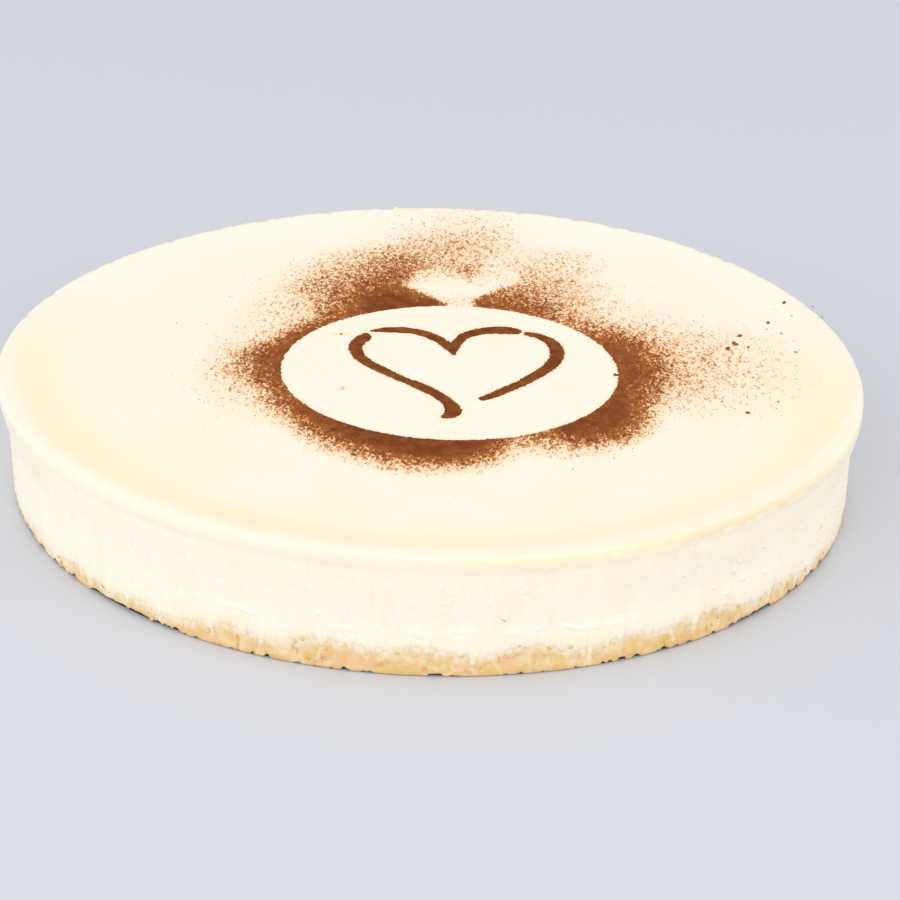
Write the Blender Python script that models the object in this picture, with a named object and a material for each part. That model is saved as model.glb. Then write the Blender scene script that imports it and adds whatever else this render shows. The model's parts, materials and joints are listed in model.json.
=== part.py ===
"""A shallow baked cheesecake on the loose base of its springform tin.

Metres, +Z up. The origin is the centre of the tin base's underside, and -Y is the cake's front.
Three solids lie one on another: the tin base, the biscuit base and the cheese filling.
"""

import math

import bmesh
import bpy
from mathutils import Vector

# Driving dimensions
RIM_RADIUS = 0.1150  # the lip's outermost line, from a 23 cm tin
CAKE_HEIGHT = 0.0330  # from the surface that the cake stands on to the crest of its rim
TIN_RADIUS = 0.1114
TIN_THICKNESS = 0.0011
BISCUIT_RADIUS = 0.1122
BISCUIT_TOP = 0.0062  # mean height of the line where filling meets biscuit
CLEARANCE = 0.0003  # between two solids that lie on each other

# The filling's section
WALL_FOOT_RADIUS = 0.1124
WALL_TOP_RADIUS = 0.1128
WALL_TOP_HEIGHT = 0.0272  # where the side starts to swell into the lip
LIP_HEIGHT = 0.0311  # where the lip reaches furthest out
CREST_RADIUS = 0.1129
PLATEAU_HEIGHT = 0.0314  # the flat middle of the top
PLATEAU_RADIUS = 0.0880  # where the top starts to rise towards the rim

# Unevenness: (waves round the cake, height of the wave, phase in radians)
RIM_OUT_OF_ROUND = ((2, 0.00037, -1.57), (3, 0.00079, 2.52))
RIM_OUT_OF_LEVEL = ((1, 0.00042, 1.11), (2, 0.00046, -1.57))
BISCUIT_WAVES = (
    (1, 0.00050, 1.45),
    (2, 0.00180, 2.78),
    (7, 0.00050, -0.10),
    (17, 0.00040, -2.65),
    (28, 0.00080, -0.08),
)

ROUND_STEPS = 120  # flats round each solid
LIP_ARC_STEPS = 4
SWELL_STEPS = 4
RIM_SLOPE_STEPS = 7
WALL_RINGS = (0.0120, 0.0200)  # heights of the rings that divide the side
TOP_RINGS = (0.0300, 0.0620)  # radii of the rings that divide the flat middle
UNDER_RINGS = (0.0400, 0.0800, 0.1040)  # radii of the rings under the filling and on the biscuit
BISCUIT_FOOT_BEVEL = 0.0008
TIN_EDGE_BEVEL = 0.0003

SHARP_ANGLE = math.radians(50)

COLOURS = {
    "filling": ((0.93, 0.87, 0.70), 0.45, 0.0),
    "biscuit_base": ((0.68, 0.45, 0.20), 0.85, 0.0),
    "tin_base": ((0.035, 0.033, 0.032), 0.40, 0.6),
}


def clear_scene():
    for obj in list(bpy.data.objects):
        bpy.data.objects.remove(obj, do_unlink=True)


def wave_sum(waves, angle):
    """The sum of each wave's height times the cosine of its count times the angle, plus its phase."""
    return sum(height * math.cos(count * angle + phase) for count, height, phase in waves)


def smooth_step(t):
    t = min(max(t, 0.0), 1.0)
    return t * t * (3.0 - 2.0 * t)


def biscuit_line(radius, angle):
    """Height of the face between biscuit and filling: level in the middle, and wavy at the side."""
    share = smooth_step(radius / BISCUIT_RADIUS)
    return BISCUIT_TOP + share * wave_sum(BISCUIT_WAVES, angle)


def top_height(radius):
    """Height of the cake's top: level to PLATEAU_RADIUS, then rising faster and faster until it rounds off."""
    reach = max(0.0, (radius - PLATEAU_RADIUS) / (CREST_RADIUS - PLATEAU_RADIUS))
    return PLATEAU_HEIGHT + (CAKE_HEIGHT - PLATEAU_HEIGHT) * smooth_step(reach * reach)


def swell_points():
    """The side's upper part, leaning out from the straight wall to the lip in a cosine curve."""
    points = []
    for step in range(SWELL_STEPS):
        t = step / SWELL_STEPS
        lean = 0.5 - 0.5 * math.cos(math.pi * t)
        radius = WALL_TOP_RADIUS + (RIM_RADIUS - WALL_TOP_RADIUS) * lean
        points.append((radius, WALL_TOP_HEIGHT + (LIP_HEIGHT - WALL_TOP_HEIGHT) * t))
    return points


def lip_points():
    """A quarter of an ellipse, from the lip's outermost line up and in to the crest."""
    points = []
    for step in range(LIP_ARC_STEPS + 1):
        turn = 0.5 * math.pi * step / LIP_ARC_STEPS
        radius = CREST_RADIUS + (RIM_RADIUS - CREST_RADIUS) * math.cos(turn)
        points.append((radius, LIP_HEIGHT + (CAKE_HEIGHT - LIP_HEIGHT) * math.sin(turn)))
    return points


def rim_slope_points():
    """From the crest down the inner slope to the level middle."""
    points = []
    for step in range(1, RIM_SLOPE_STEPS + 1):
        radius = CREST_RADIUS + (PLATEAU_RADIUS - CREST_RADIUS) * step / RIM_SLOPE_STEPS
        points.append((radius, top_height(radius)))
    return points


def turned_solid(name, profile, shift):
    """The profile of (radius, height) points, turned once round Z, then each point moved by shift."""
    mesh = bpy.data.meshes.new(name)
    bm = bmesh.new()
    points = [bm.verts.new((radius, 0.0, height)) for radius, height in profile]
    edges = [bm.edges.new(pair) for pair in zip(points, points[1:])]
    bmesh.ops.spin(
        bm,
        geom=points + edges,
        axis=(0.0, 0.0, 1.0),
        cent=(0.0, 0.0, 0.0),
        steps=ROUND_STEPS,
        angle=2.0 * math.pi,
        use_merge=True,
    )
    bmesh.ops.remove_doubles(bm, verts=bm.verts, dist=1e-6)
    for vert in bm.verts:
        vert.co = shift(vert.co.copy())
    bmesh.ops.recalc_face_normals(bm, faces=bm.faces)
    bm.to_mesh(mesh)
    bm.free()
    mesh.shade_smooth()
    mesh.set_sharp_from_angle(angle=SHARP_ANGLE)
    obj = bpy.data.objects.new(name, mesh)
    bpy.context.scene.collection.objects.link(obj)
    return obj


def polar(point):
    return math.hypot(point.x, point.y), math.atan2(point.y, point.x)


def moved_out(point, extra_radius, extra_height):
    """The point, moved away from the Z axis and up."""
    radius, angle = polar(point)
    reach = radius + extra_radius
    return Vector((reach * math.cos(angle), reach * math.sin(angle), point.z + extra_height))


def shift_filling(point):
    """The underside follows the biscuit, and the rim is a little out of round and out of level."""
    radius, angle = polar(point)
    if point.z <= 0.0:
        return Vector((point.x, point.y, biscuit_line(radius, angle) + CLEARANCE))
    share = point.z / CAKE_HEIGHT * smooth_step(radius / RIM_RADIUS)
    out = share * wave_sum(RIM_OUT_OF_ROUND, angle)
    return moved_out(point, out, share * wave_sum(RIM_OUT_OF_LEVEL, angle))


def shift_biscuit(point):
    """The upper face takes the wavy line's height, and the rest stays as turned."""
    radius, angle = polar(point)
    if point.z < BISCUIT_TOP - CLEARANCE:
        return point
    return Vector((point.x, point.y, biscuit_line(radius, angle)))


def make_filling():
    """Underside at height 0 in the profile, which shift_filling lays on the biscuit."""
    profile = [(radius, 0.0) for radius in (0.0,) + UNDER_RINGS + (WALL_FOOT_RADIUS,)]
    for height in WALL_RINGS:
        share = height / WALL_TOP_HEIGHT
        profile.append((WALL_FOOT_RADIUS + (WALL_TOP_RADIUS - WALL_FOOT_RADIUS) * share, height))
    profile += swell_points() + lip_points() + rim_slope_points()
    profile += [(radius, PLATEAU_HEIGHT) for radius in reversed((0.0,) + TOP_RINGS)]
    return turned_solid("filling", profile, shift_filling)


def make_biscuit():
    bottom = TIN_THICKNESS + CLEARANCE
    profile = [
        (0.0, bottom),
        (BISCUIT_RADIUS - BISCUIT_FOOT_BEVEL, bottom),
        (BISCUIT_RADIUS, bottom + BISCUIT_FOOT_BEVEL),
    ]
    profile += [(radius, BISCUIT_TOP) for radius in reversed((0.0,) + UNDER_RINGS + (BISCUIT_RADIUS,))]
    return turned_solid("biscuit_base", profile, shift_biscuit)


def make_tin():
    inner = TIN_RADIUS - TIN_EDGE_BEVEL
    profile = [
        (0.0, 0.0),
        (inner, 0.0),
        (TIN_RADIUS, TIN_EDGE_BEVEL),
        (TIN_RADIUS, TIN_THICKNESS - TIN_EDGE_BEVEL),
        (inner, TIN_THICKNESS),
        (0.0, TIN_THICKNESS),
    ]
    return turned_solid("tin_base", profile, lambda point: point)


def give_material(obj):
    colour, roughness, metallic = COLOURS[obj.name]
    material = bpy.data.materials.new(obj.name)
    material.use_nodes = True
    shader = material.node_tree.nodes["Principled BSDF"]
    shader.inputs["Base Color"].default_value = (*colour, 1.0)
    shader.inputs["Roughness"].default_value = roughness
    shader.inputs["Metallic"].default_value = metallic
    obj.data.materials.append(material)


def main():
    clear_scene()
    for make in (make_tin, make_biscuit, make_filling):
        give_material(make())


main()
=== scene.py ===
import json
import math

import bpy
import numpy as np
from mathutils import Matrix, Vector

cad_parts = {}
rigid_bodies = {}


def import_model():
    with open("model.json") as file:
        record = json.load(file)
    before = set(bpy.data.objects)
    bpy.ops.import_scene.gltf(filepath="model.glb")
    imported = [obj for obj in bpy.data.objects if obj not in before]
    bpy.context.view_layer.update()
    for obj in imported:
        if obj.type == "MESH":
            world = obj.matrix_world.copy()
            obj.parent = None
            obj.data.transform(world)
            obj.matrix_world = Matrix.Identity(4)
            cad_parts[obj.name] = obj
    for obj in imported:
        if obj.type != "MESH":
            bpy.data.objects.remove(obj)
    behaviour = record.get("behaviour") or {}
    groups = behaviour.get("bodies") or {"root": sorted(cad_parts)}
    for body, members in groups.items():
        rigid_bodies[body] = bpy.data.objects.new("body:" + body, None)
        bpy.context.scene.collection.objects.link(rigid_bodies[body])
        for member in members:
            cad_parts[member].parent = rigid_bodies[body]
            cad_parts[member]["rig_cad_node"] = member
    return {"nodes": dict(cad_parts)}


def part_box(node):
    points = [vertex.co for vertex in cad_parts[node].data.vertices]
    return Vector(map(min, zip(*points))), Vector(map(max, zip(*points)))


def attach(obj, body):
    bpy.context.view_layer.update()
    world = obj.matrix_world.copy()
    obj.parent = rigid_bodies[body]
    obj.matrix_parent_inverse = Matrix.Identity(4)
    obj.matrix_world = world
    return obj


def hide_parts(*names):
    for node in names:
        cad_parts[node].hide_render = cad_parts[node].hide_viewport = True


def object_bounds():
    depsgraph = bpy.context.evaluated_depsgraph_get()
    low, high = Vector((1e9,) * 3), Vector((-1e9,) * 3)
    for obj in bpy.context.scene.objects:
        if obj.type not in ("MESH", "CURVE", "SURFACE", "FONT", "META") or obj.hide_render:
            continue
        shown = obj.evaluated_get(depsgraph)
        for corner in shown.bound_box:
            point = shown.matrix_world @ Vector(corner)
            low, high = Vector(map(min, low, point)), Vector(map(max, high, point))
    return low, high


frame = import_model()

# A baked cheesecake with a heart of sifted cocoa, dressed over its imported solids.
# Lengths in the dictionaries are millimetres; points become metres only when a mesh is filled.

cadLow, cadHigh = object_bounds()
mm = 0.001
fullTurn = 2 * math.pi
fillingLow, fillingHigh = [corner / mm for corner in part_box("filling")]
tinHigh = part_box("tin_base")[1] / mm
print("frame loaded:", len(frame["nodes"]), "nodes")


# Numbers: easing, repeatable noise and sums of waves

def anglesRound(count):
    return np.arange(count) * fullTurn / count


def ease(t):
    # 0 to 1 with level ends: three times t squared less twice t cubed
    t = np.clip(t, 0.0, 1.0)
    return t * t * (3 - 2 * t)


def bell(distance, reach):
    # 1 in the middle, falling off as e to minus half the squared distance in reaches
    return np.exp(-0.5 * (distance / reach) ** 2)


def turnBell(angle, middle, reach):
    # a bell round the cake, its middle and reach in degrees
    away = np.degrees(np.angle(np.exp(1j * (angle - math.radians(middle)))))
    return bell(away, reach)


def turnBells(angle, bells):
    # the sum of bells round the cake, each its strength, its middle and its reach
    return sum(strength * turnBell(angle, middle, reach) for strength, middle, reach in bells)


def latticeShare(column, row, seed):
    # a repeatable number 0 to 1 for each lattice point, from mixing its whole-number indices
    mixed = column.astype(np.int64).astype(np.uint64) * np.uint64(374761393)
    mixed = mixed + row.astype(np.int64).astype(np.uint64) * np.uint64(668265263) + np.uint64(seed * 974711)
    mixed = mixed & np.uint64(0xFFFFFFFF)
    for shift in (13, 15, 16):
        mixed = ((mixed ^ (mixed >> np.uint64(shift))) * np.uint64(1274126177)) & np.uint64(0xFFFFFFFF)
    return (mixed ^ (mixed >> np.uint64(14))).astype(float) / 0xFFFFFFFF


def wrapped(column, wrap):
    return np.mod(column, wrap) if wrap else column


def cloud(u, v, seed, wrap=0):
    # smooth noise 0 to 1: a random number at each whole u and v, eased between them; u repeats every wrap
    u, v = np.broadcast_arrays(u, v)
    column, row = np.floor(u), np.floor(v)
    across, along = ease(u - column), ease(v - row)
    near, far = wrapped(column, wrap), wrapped(column + 1, wrap)
    low = latticeShare(near, row, seed) * (1 - across) + latticeShare(far, row, seed) * across
    high = latticeShare(near, row + 1, seed) * (1 - across) + latticeShare(far, row + 1, seed) * across
    return low * (1 - along) + high * along


def cloudLayers(u, v, seed, layers, wrap=0):
    # clouds of doubling fineness, each half as strong as the one before, scaled back to 0 to 1
    total, strength, sumOfStrengths = 0.0, 1.0, 0.0
    for layer in range(layers):
        fine = 2 ** layer
        total = total + strength * cloud(u * fine, v * fine, seed + layer, wrap * fine)
        sumOfStrengths += strength
        strength /= 2
    return total / sumOfStrengths


def pebbles(u, v, seed, wrap=0):
    # one random point in each cell: the distances to the nearest two, and the nearest one's own number
    u, v = np.broadcast_arrays(u, v)
    column, row = np.floor(u), np.floor(v)
    first, second, own = np.full(u.shape, 9.0), np.full(u.shape, 9.0), np.zeros(u.shape)
    for stepU in (-1, 0, 1):
        for stepV in (-1, 0, 1):
            cellU, cellV = wrapped(column + stepU, wrap), row + stepV
            pointU = column + stepU + latticeShare(cellU, cellV, seed)
            pointV = cellV + latticeShare(cellU, cellV, seed + 1)
            distance = np.hypot(u - pointU, v - pointV)
            closer = distance < first
            second = np.where(closer, first, np.minimum(second, distance))
            own = np.where(closer, latticeShare(cellU, cellV, seed + 2), own)
            first = np.where(closer, distance, first)
    return first, second, own


def waveSum(waves, angle):
    # each wave is its count round the cake, its height and its phase
    return sum(height * np.cos(count * angle + phase) for count, height, phase in waves)


def skewed(rng, count, least, most, power):
    # random sizes from least to most: the higher the power, the more of them are small
    return least + (most - least) * rng.uniform(0, 1, count) ** power


# Meshes from whole arrays

def newObject(name, data):
    thing = bpy.data.objects.new(name, data)
    bpy.context.scene.collection.objects.link(thing)
    return thing


def fillMesh(name, points, quads=None, triangles=None, smooth=True):
    # points in millimetres; four-cornered faces first, then three-cornered ones
    mesh = bpy.data.meshes.new(name)
    quads = np.zeros((0, 4), int) if quads is None else quads
    triangles = np.zeros((0, 3), int) if triangles is None else triangles
    corners = np.concatenate([quads.ravel(), triangles.ravel()]).astype(np.int32)
    quadStarts = np.arange(len(quads)) * 4
    starts = np.concatenate([quadStarts, len(quads) * 4 + np.arange(len(triangles)) * 3]).astype(np.int32)
    mesh.vertices.add(len(points))
    mesh.vertices.foreach_set("co", (points * mm).astype(np.float32).ravel())
    mesh.loops.add(len(corners))
    mesh.loops.foreach_set("vertex_index", corners)
    mesh.polygons.add(len(starts))
    mesh.polygons.foreach_set("loop_start", starts)
    mesh.update(calc_edges=True)
    mesh.validate()
    if smooth:
        mesh.shade_smooth()
    else:
        mesh.shade_flat()
    print("  ", name, 2 * len(quads) + len(triangles), "triangles")
    return newObject(name, mesh)


def giveAttribute(piece, name, values):
    attribute = piece.data.attributes.new(name, "FLOAT", "POINT")
    attribute.data.foreach_set("value", np.asarray(values, np.float32).ravel())


def ringPoints(radius, angle, height):
    radius, angle, height = np.broadcast_arrays(radius, angle, height)
    return np.stack([radius * np.cos(angle), radius * np.sin(angle), height], -1)


def stackRings(rings, firstPole, lastPole):
    # a stack of rings closed by a pole at each end; a ring has as many points as the next, half or double
    points = np.concatenate([[firstPole]] + rings + [[lastPole]])
    counts = [len(ring) for ring in rings]
    starts = 1 + np.concatenate([[0], np.cumsum(counts)[:-1]])
    quads, triangles = [np.zeros((0, 4), int)], []
    step = np.arange(counts[0])
    triangles.append(np.stack([step * 0, starts[0] + (step + 1) % counts[0], starts[0] + step], 1))
    for here, there, count, nextCount in zip(starts, starts[1:], counts, counts[1:]):
        step = np.arange(min(count, nextCount))
        after = (step + 1) % len(step)
        if count == nextCount:
            quads.append(np.stack([here + step, here + after, there + after, there + step], 1))
            continue
        fine, coarse = (here, there) if count > nextCount else (there, here)
        left, middle, right = fine + 2 * step, fine + 2 * step + 1, fine + 2 * after
        fan = (
            (left, middle, coarse + step), (middle, right, coarse + after),
            (middle, coarse + after, coarse + step),
        )
        order = [0, 1, 2] if count > nextCount else [0, 2, 1]
        triangles += [np.stack(corners, 1)[:, order] for corners in fan]
    step = np.arange(counts[-1])
    last = np.full(counts[-1], len(points) - 1)
    triangles.append(np.stack([starts[-1] + step, starts[-1] + (step + 1) % counts[-1], last], 1))
    return points, np.concatenate(quads), np.concatenate(triangles)


# Finishes: one small class for the value of a socket and one for a material

class Signal:
    # a socket's value in a sum: arithmetic on it adds Math nodes to its finish
    def __init__(self, finish, socket):
        self.finish, self.socket = finish, socket

    def math(self, operation, first, second):
        return self.finish.add("ShaderNodeMath", {"operation": operation}, {0: first, 1: second})

    def __add__(self, other):
        return self.math("ADD", self, other)

    def __sub__(self, other):
        return self.math("SUBTRACT", self, other)

    def __rsub__(self, other):
        return self.math("SUBTRACT", other, self)

    def __mul__(self, other):
        return self.math("MULTIPLY", self, other)

    def rising(self, low, high):
        # 0 below low, 1 above high, eased between
        values = {"Value": self, "From Min": low, "From Max": high}
        return self.finish.add("ShaderNodeMapRange", {"interpolation_type": "SMOOTHSTEP"}, values)


class Finish:
    # one material; uniform values go on the shader's own sockets
    def __init__(self, name, uniform):
        self.material = bpy.data.materials.new(name)
        self.material.use_nodes = True
        self.tree = self.material.node_tree
        self.shader = self.tree.nodes["Principled BSDF"]
        for socket, value in uniform.items():
            self.shader.inputs[socket].default_value = value

    def add(self, kind, settings=None, values=None, output=0):
        # any node: its settings are set first, then each socket gets a value or a link
        node = self.tree.nodes.new(kind)
        for key, value in (settings or {}).items():
            setattr(node, key, value)
        for key, value in (values or {}).items():
            self.feed(node.inputs[key], value)
        return Signal(self, node.outputs[output])

    def feed(self, socket, value):
        if isinstance(value, Signal):
            self.tree.links.new(value.socket, socket)
        elif isinstance(value, tuple) and len(value) == 3 and socket.type == "RGBA":
            socket.default_value = (*value, 1.0)
        else:
            socket.default_value = value

    def place(self, x=1, y=1, z=1):
        # the object's own coordinates in millimetres; a pattern read there is stretched along each axis
        where = self.add("ShaderNodeTexCoord", output="Object")
        scale = tuple(1 / (mm * stretch) for stretch in (x, y, z))
        return self.add("ShaderNodeMapping", None, {"Vector": where, "Scale": scale})

    def along(self, where, axis):
        return self.add("ShaderNodeSeparateXYZ", None, {"Vector": where}, output=axis)

    def attribute(self, name):
        return self.add("ShaderNodeAttribute", {"attribute_name": name}, output="Fac")

    def noise(self, where, size, detail=2.0, roughness=0.5):
        # cloudy noise whose lumps are about size millimetres across
        values = {"Vector": where, "Scale": 1 / size, "Detail": detail, "Roughness": roughness}
        return self.add("ShaderNodeTexNoise", None, values)

    def cells(self, where, size, output="Distance"):
        # pebbled pattern whose cells are about size millimetres across
        return self.add("ShaderNodeTexVoronoi", None, {"Vector": where, "Scale": 1 / size}, output)

    def cellShares(self, where, size):
        # an even random number 0 to 1 for each cell
        return self.add("ShaderNodeSeparateColor", None, {"Color": self.cells(where, size, "Color")})

    def mix(self, share, first, second):
        return self.add("ShaderNodeMix", {"data_type": "RGBA"}, {0: share, 6: first, 7: second}, output=2)

    def bump(self, height, depth, under=None, strength=1.0):
        # depth is the relief in millimetres for a height of 1; strength may vary over the surface
        values = {"Height": height, "Distance": depth * mm, "Strength": strength}
        if under is not None:
            values["Normal"] = under
        return self.add("ShaderNodeBump", None, values)

    def drive(self, **sockets):
        # words joined by an underscore name a socket: Base_Color is Base Color
        for name, value in sockets.items():
            self.feed(self.shader.inputs[name.replace("_", " ")], value)
        return self.material


def dress(piece, material, slot, *nodes):
    # every piece lies on the one body; it may stand for solids, which are then hidden; the slot is not used
    piece.data.materials.append(material)
    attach(piece, "root")
    if nodes:
        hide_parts(*nodes)


# Camera, light and floor

camera = {
    "distance": 782.6, "height": 26.09,  # from the origin; degrees above it
    "pitch": 25.69, "yaw": 0.418, "roll": 2.05,  # degrees
    "lens": 114.8,
}


def setCamera():
    data = bpy.data.cameras.new("camera")
    data.lens, data.clip_start, data.clip_end = camera["lens"], 0.05, 50
    rig = newObject("camera", data)
    height, pitch, yaw, roll = (math.radians(camera[key]) for key in ("height", "pitch", "yaw", "roll"))
    rig.matrix_world = Matrix.Translation(
        Vector((0, -math.cos(height), math.sin(height))) * camera["distance"] * mm
    )
    # turned about the upright, tipped up from looking straight down, and rolled about its own axis
    for turn, axis in ((-yaw, "Z"), (math.pi / 2 - pitch, "X"), (roll, "Z")):
        rig.matrix_world = rig.matrix_world @ Matrix.Rotation(turn, 4, axis)
    bpy.context.scene.camera = rig


light = {
    "skyColour": (1.0, 0.995, 0.985), "skyStrength": 0.838,
    # each box: where it stands in metres, its width in metres, its watts and its colour
    "key": ((-0.85, -1.25, 1.00), 1.4, 10.1, (1.0, 0.985, 0.96)),
    "side": ((1.50, -0.80, 0.60), 1.0, 7.7, (1.0, 0.980, 0.930)),
    "cool": ((-1.60, -0.25, 0.35), 1.0, 3.6, (0.96, 0.965, 1.0)),
}


def setLight():
    world = bpy.data.worlds.new("studio")
    world.use_nodes = True
    sky = world.node_tree.nodes["Background"]
    sky.inputs["Color"].default_value = (*light["skyColour"], 1)
    sky.inputs["Strength"].default_value = light["skyStrength"]
    bpy.context.scene.world = world
    for name in ("key", "side", "cool"):
        place, size, power, colour = light[name]
        data = bpy.data.lights.new(name, "AREA")
        data.shape, data.size, data.energy, data.color = "SQUARE", size, power, colour
        box = newObject(name, data)
        box.location = place
        box.rotation_euler = (-Vector(place)).to_track_quat("-Z", "Y").to_euler()
    view = bpy.context.scene.view_settings
    view.view_transform, view.look, view.exposure, view.gamma = "Standard", "None", 0.0, 1.0


floor = {"colour": (0.63, 0.655, 0.73), "halfWidth": 4000.0}


def makeFloor():
    half = floor["halfWidth"]
    corners = np.array([[-half, -half, 0], [half, -half, 0], [half, half, 0], [-half, half, 0]], float)
    corners[:, 2] = cadLow.z / mm
    slab = fillMesh("floor", corners, quads=np.array([[0, 1, 2, 3]]))
    slab.data.materials.append(Finish("paleFloor", {"Roughness": 0.55}).drive(Base_Color=floor["colour"]))


setCamera()
setLight()
makeFloor()
print("camera, light and floor are set")


# The cake's shape, shared by every piece that lies on it

rim = {
    "lipHeight": 31.1, "crestRadius": 112.9,  # where the lip reaches furthest out, and where it is highest
    "wallFoot": 112.4, "wallTop": 112.7, "swellFrom": 23.5,
    # at the front the lip is tighter, so these are added there
    "frontReach": 55.0, "frontCrest": 0.9, "frontLip": 0.9, "frontSwell": -14.0,  # degrees, then millimetres
    "plateau": 31.4, "plateauRadius": 88.0,
    "outOfRound": ((2, 0.37, -1.57), (3, 0.79, 2.52)),
    "outOfLevel": ((1, 0.42, 1.11), (2, 0.46, -1.57)),
}
lipRadius = (fillingHigh.x - fillingLow.x) / 2 - 0.05  # a hair inside, for its roughness
crestHeight = fillingHigh.z - 0.01 - waveSum(rim["outOfLevel"], anglesRound(3600)).max()


def settle(radius, angle, height):
    # the cake's unevenness: a share of it that grows with height and radius
    share = height / crestHeight * ease(radius / lipRadius)
    out, up = waveSum(rim["outOfRound"], angle), waveSum(rim["outOfLevel"], angle)
    return radius + share * out, height + share * up


def lipShape(angle):
    # radius of the crest, height of the lip's outermost line and where the side starts to swell towards it
    front = turnBell(angle, -90, rim["frontReach"])
    crest, lip = rim["crestRadius"] + rim["frontCrest"] * front, rim["lipHeight"] + rim["frontLip"] * front
    return crest, lip, rim["swellFrom"] + rim["frontSwell"] * front


def wallRadius(angle, height):
    # straight and nearly upright, then leaning out to the lip in a cosine curve
    _, lip, start = lipShape(angle)
    lean = np.clip((height - start) / (lip - start), 0, 1)
    straight = rim["wallFoot"] + (rim["wallTop"] - rim["wallFoot"]) * height / rim["lipHeight"]
    return straight + (lipRadius - straight) * (0.5 - 0.5 * np.cos(math.pi * lean))


def topHeight(radius):
    # level in the middle, then rising faster and faster to the crest
    reach = np.clip((radius - rim["plateauRadius"]) / (rim["crestRadius"] - rim["plateauRadius"]), 0, 1)
    return rim["plateau"] + (crestHeight - rim["plateau"]) * ease(reach * reach)


def topSurface(x, y):
    # height of the finished top at a place on it
    radius, angle = np.hypot(x, y), np.arctan2(y, x)
    return settle(radius, angle, topHeight(radius))[1]


biscuitLine = {
    "height": 6.2,
    "waves": ((1, 0.50, 1.45), (2, 1.80, 2.78), (7, 0.50, -0.10), (17, 0.40, -2.65), (28, 0.80, -0.08)),
}


def lineHeight(angle):
    # where filling meets biscuit at the side
    return biscuitLine["height"] + waveSum(biscuitLine["waves"], angle)


# Cocoa: how much of it fell where

stencil = {
    "x": 4.3, "y": -3.2, "radius": 44.45, "oval": 0.77, "ovalTurn": 21.0,  # degrees
    "fullAmount": 5.0, "fadeInset": 1.6,  # in softnesses of the band's edge
}

# by degrees round the disc: how far out half the cake is covered, how soft the edge is, how full the band is
band = (
    (0, 13.0, 2.2, 0.75), (12, 13.6, 2.3, 0.75), (22, 13.7, 2.3, 0.75), (32, 10.8, 3.2, 0.7),
    (42, 5.6, 4.0, 0.6), (52, 8.1, 4.4, 0.58), (62, 11.7, 4.4, 0.75), (72, 13.7, 4.2, 0.8),
    (80, 12.6, 3.0, 0.8), (86, 8.5, 2.2, 0.75), (94, 9.2, 2.2, 0.85), (100, 14.2, 2.8, 0.9),
    (110, 21.1, 3.4, 0.95), (120, 16.9, 4.0, 0.85), (130, 11.3, 3.6, 0.72), (138, 4.9, 1.8, 0.8),
    (150, 5.4, 1.3, 0.8), (160, 5.9, 1.4, 0.8), (170, 9.8, 2.2, 0.8), (180, 10.4, 2.4, 0.8),
    (190, 8.5, 2.4, 0.8), (200, 5.6, 1.9, 0.8), (210, 7.3, 2.0, 0.8), (220, 8.0, 1.7, 0.85),
    (230, 10.2, 1.9, 0.9), (240, 12.7, 2.0, 0.95), (250, 14.3, 2.1, 1.0), (260, 15.6, 2.1, 1.1),
    (270, 14.3, 1.9, 1.1), (278, 13.4, 2.0, 0.95), (285, 9.2, 2.1, 0.75), (290, 4.9, 2.8, 0.5),
    (298, 6.9, 3.8, 0.45), (304, 10.7, 3.3, 0.6), (311, 13.6, 1.9, 0.85), (320, 16.2, 1.6, 0.88),
    (330, 14.2, 1.8, 0.85), (340, 11.4, 1.8, 0.8), (350, 11.3, 2.2, 0.75),
)

# puffs that drifted past the stencil: place, reach across and along, turn in degrees, amount
puffs = (
    (-20, 50, 8, 9, 0, 0.55), (-28, 57, 5, 8, 0, 0.28), (-9, 67, 5, 6, 0, 1.0), (-14, 74, 12, 7, 25, 0.36),
    (-14, 58, 6, 6, 0, 0.85), (4, 85, 9, 7, 0, 0.24), (2, 100, 15, 13, 0, 0.06), (-34, 52, 3, 4, 0, 0.4),
    (14, 92, 7, 14, 0, 0.06), (28, 47, 7, 5, -20, 0.15), (29, 59, 9, 9, 0, 0.32), (46, 44, 12, 10, -30, 0.05),
    (36, 78, 8, 6, 0, 0.09), (64, 4, 9, 15, 0, 0.24), (82, 4, 14, 19, 0, 0.08), (8, 66, 4.5, 4, 0, 0.9),
    (-48, -8, 9, 18, 0, 0.12), (-38, 36, 9, 18, 0, 0.12),
)

handle = {
    "neck": (6.9, 43.0, 3.5, 6.0),  # middle and half sizes
    "lobes": ((0.8, 60.6, 7.4), (16.5, 63.0, 6.8)),  # middle and radius of each
    "leftSide": ((3.4, 42.0), (-6.0, 52.6)), "rightSide": ((9.6, 45.2), (17.6, 55.5)), "shoulder": 56.0,
    "softness": 2.4, "leak": 0.03, "upperLeak": 0.32, "leakFrom": 54.0, "leakOver": 16.0,
}

# faint marks left inside the disc: place, reach across and along
smudges = ((-25.5, 18.7, 2.0, 0.8), (-23.9, -17.7, 0.9, 1.2))
smudgeAmount = 0.5

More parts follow.
